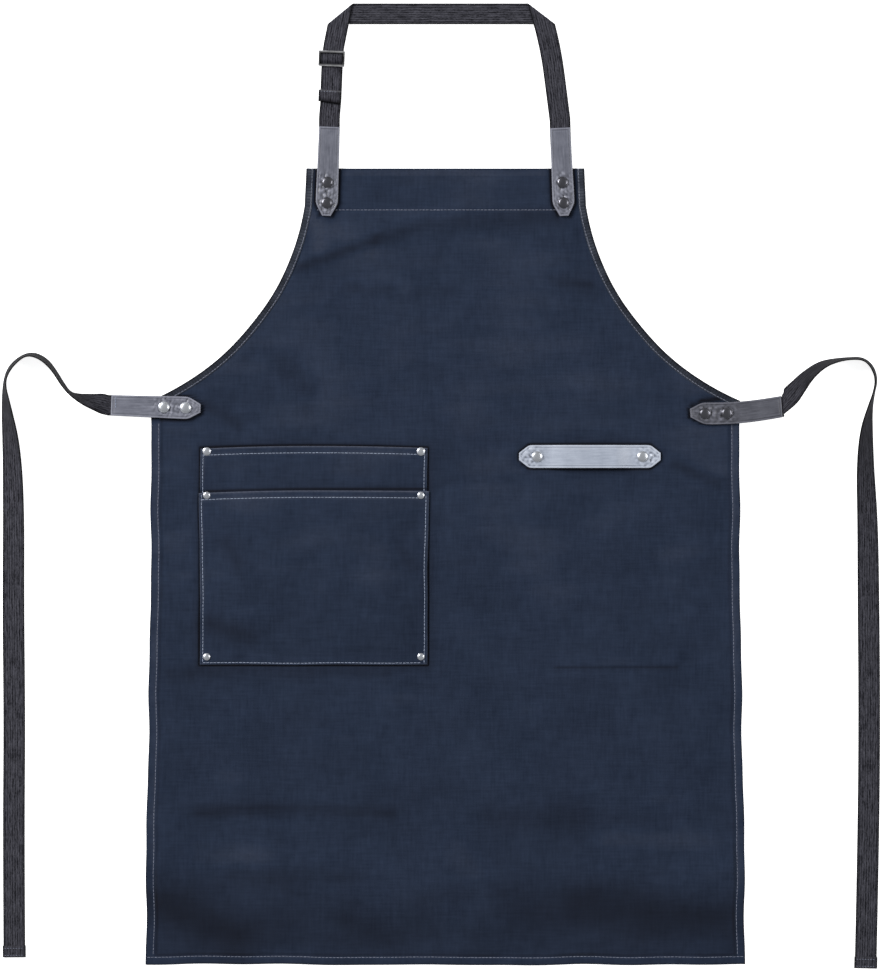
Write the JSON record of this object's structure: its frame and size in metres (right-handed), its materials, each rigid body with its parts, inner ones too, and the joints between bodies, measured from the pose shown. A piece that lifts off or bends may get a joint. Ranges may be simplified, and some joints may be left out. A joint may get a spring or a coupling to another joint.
{
  "type": "bib apron",
  "caption": "Canvas bib apron lying flat, with leather tabs, an adjustable webbing neck loop, waist ties, a two-layer pocket and a leather tool loop.",
  "frame": {"origin": "centre of the apron's outline without its free ties, on the surface it lies on", "axes": "+X to the right as the front is seen, +Y from the skirt to the neck, +Z out of the front"},
  "size_m": [0.9665, 1.0617, 0.0245],
  "materials": {
    "canvas": "matt cotton canvas",
    "leather": "smooth grey leather",
    "loop_leather": "pale grey leather with an embossed border",
    "webbing": "ribbed webbing",
    "rivet_metal": "polished gunmetal",
    "slider_plastic": "satin moulded plastic"
  },
  "bodies": {
    "apron": {"bib_facing": "canvas", "body_panel": "canvas", "bottom_hem": "canvas", "front_pocket_mouth_hem": "canvas", "front_pocket_panel": "canvas", "left_armhole_hem": "canvas", "left_neck_tab": "leather", "left_side_hem": "canvas", "left_strap_anchor": "webbing", "left_tie_anchor": "webbing", "left_tie_end_hem": "webbing", "left_waist_tab": "leather", "left_waist_tie": "webbing", "neck_tab_rivet_caps": "rivet_metal", "neck_tab_rivet_posts": "rivet_metal", "pocket_rivet_caps": "rivet_metal", "pocket_rivet_posts": "rivet_metal", "rear_pocket_mouth_hem": "canvas", "rear_pocket_panel": "canvas", "right_armhole_hem": "canvas", "right_neck_tab": "leather", "right_side_hem": "canvas", "right_strap_anchor": "webbing", "right_tie_anchor": "webbing", "right_tie_end_hem": "webbing", "right_waist_tab": "leather", "right_waist_tie": "webbing", "tool_loop": "loop_leather", "tool_loop_rivet_caps": "rivet_metal", "tool_loop_rivet_posts": "rivet_metal", "waist_tab_rivet_caps": "rivet_metal", "waist_tab_rivet_posts": "rivet_metal"},
    "neck_loop": {"neck_strap": "webbing", "strap_tail_hem": "webbing", "buckle_strap": "webbing"},
    "slider": {"slider_buckle": "slider_plastic", "strap_hump": "webbing"}
  },
  "joints": [
    {"name": "neck_loop_fold", "type": "hinge", "parent": "apron", "child": "neck_loop", "pos_m": [0, 0.3957, 0.0065], "axis": [1, 0, 0], "range_deg": [0, 172]},
    {"name": "slider_slide", "type": "slide", "parent": "neck_loop", "child": "slider", "axis": [-0.0394, -0.9992, 0], "range_m": [0, 0.0255], "deforming": ["buckle_strap"]}
  ]
}
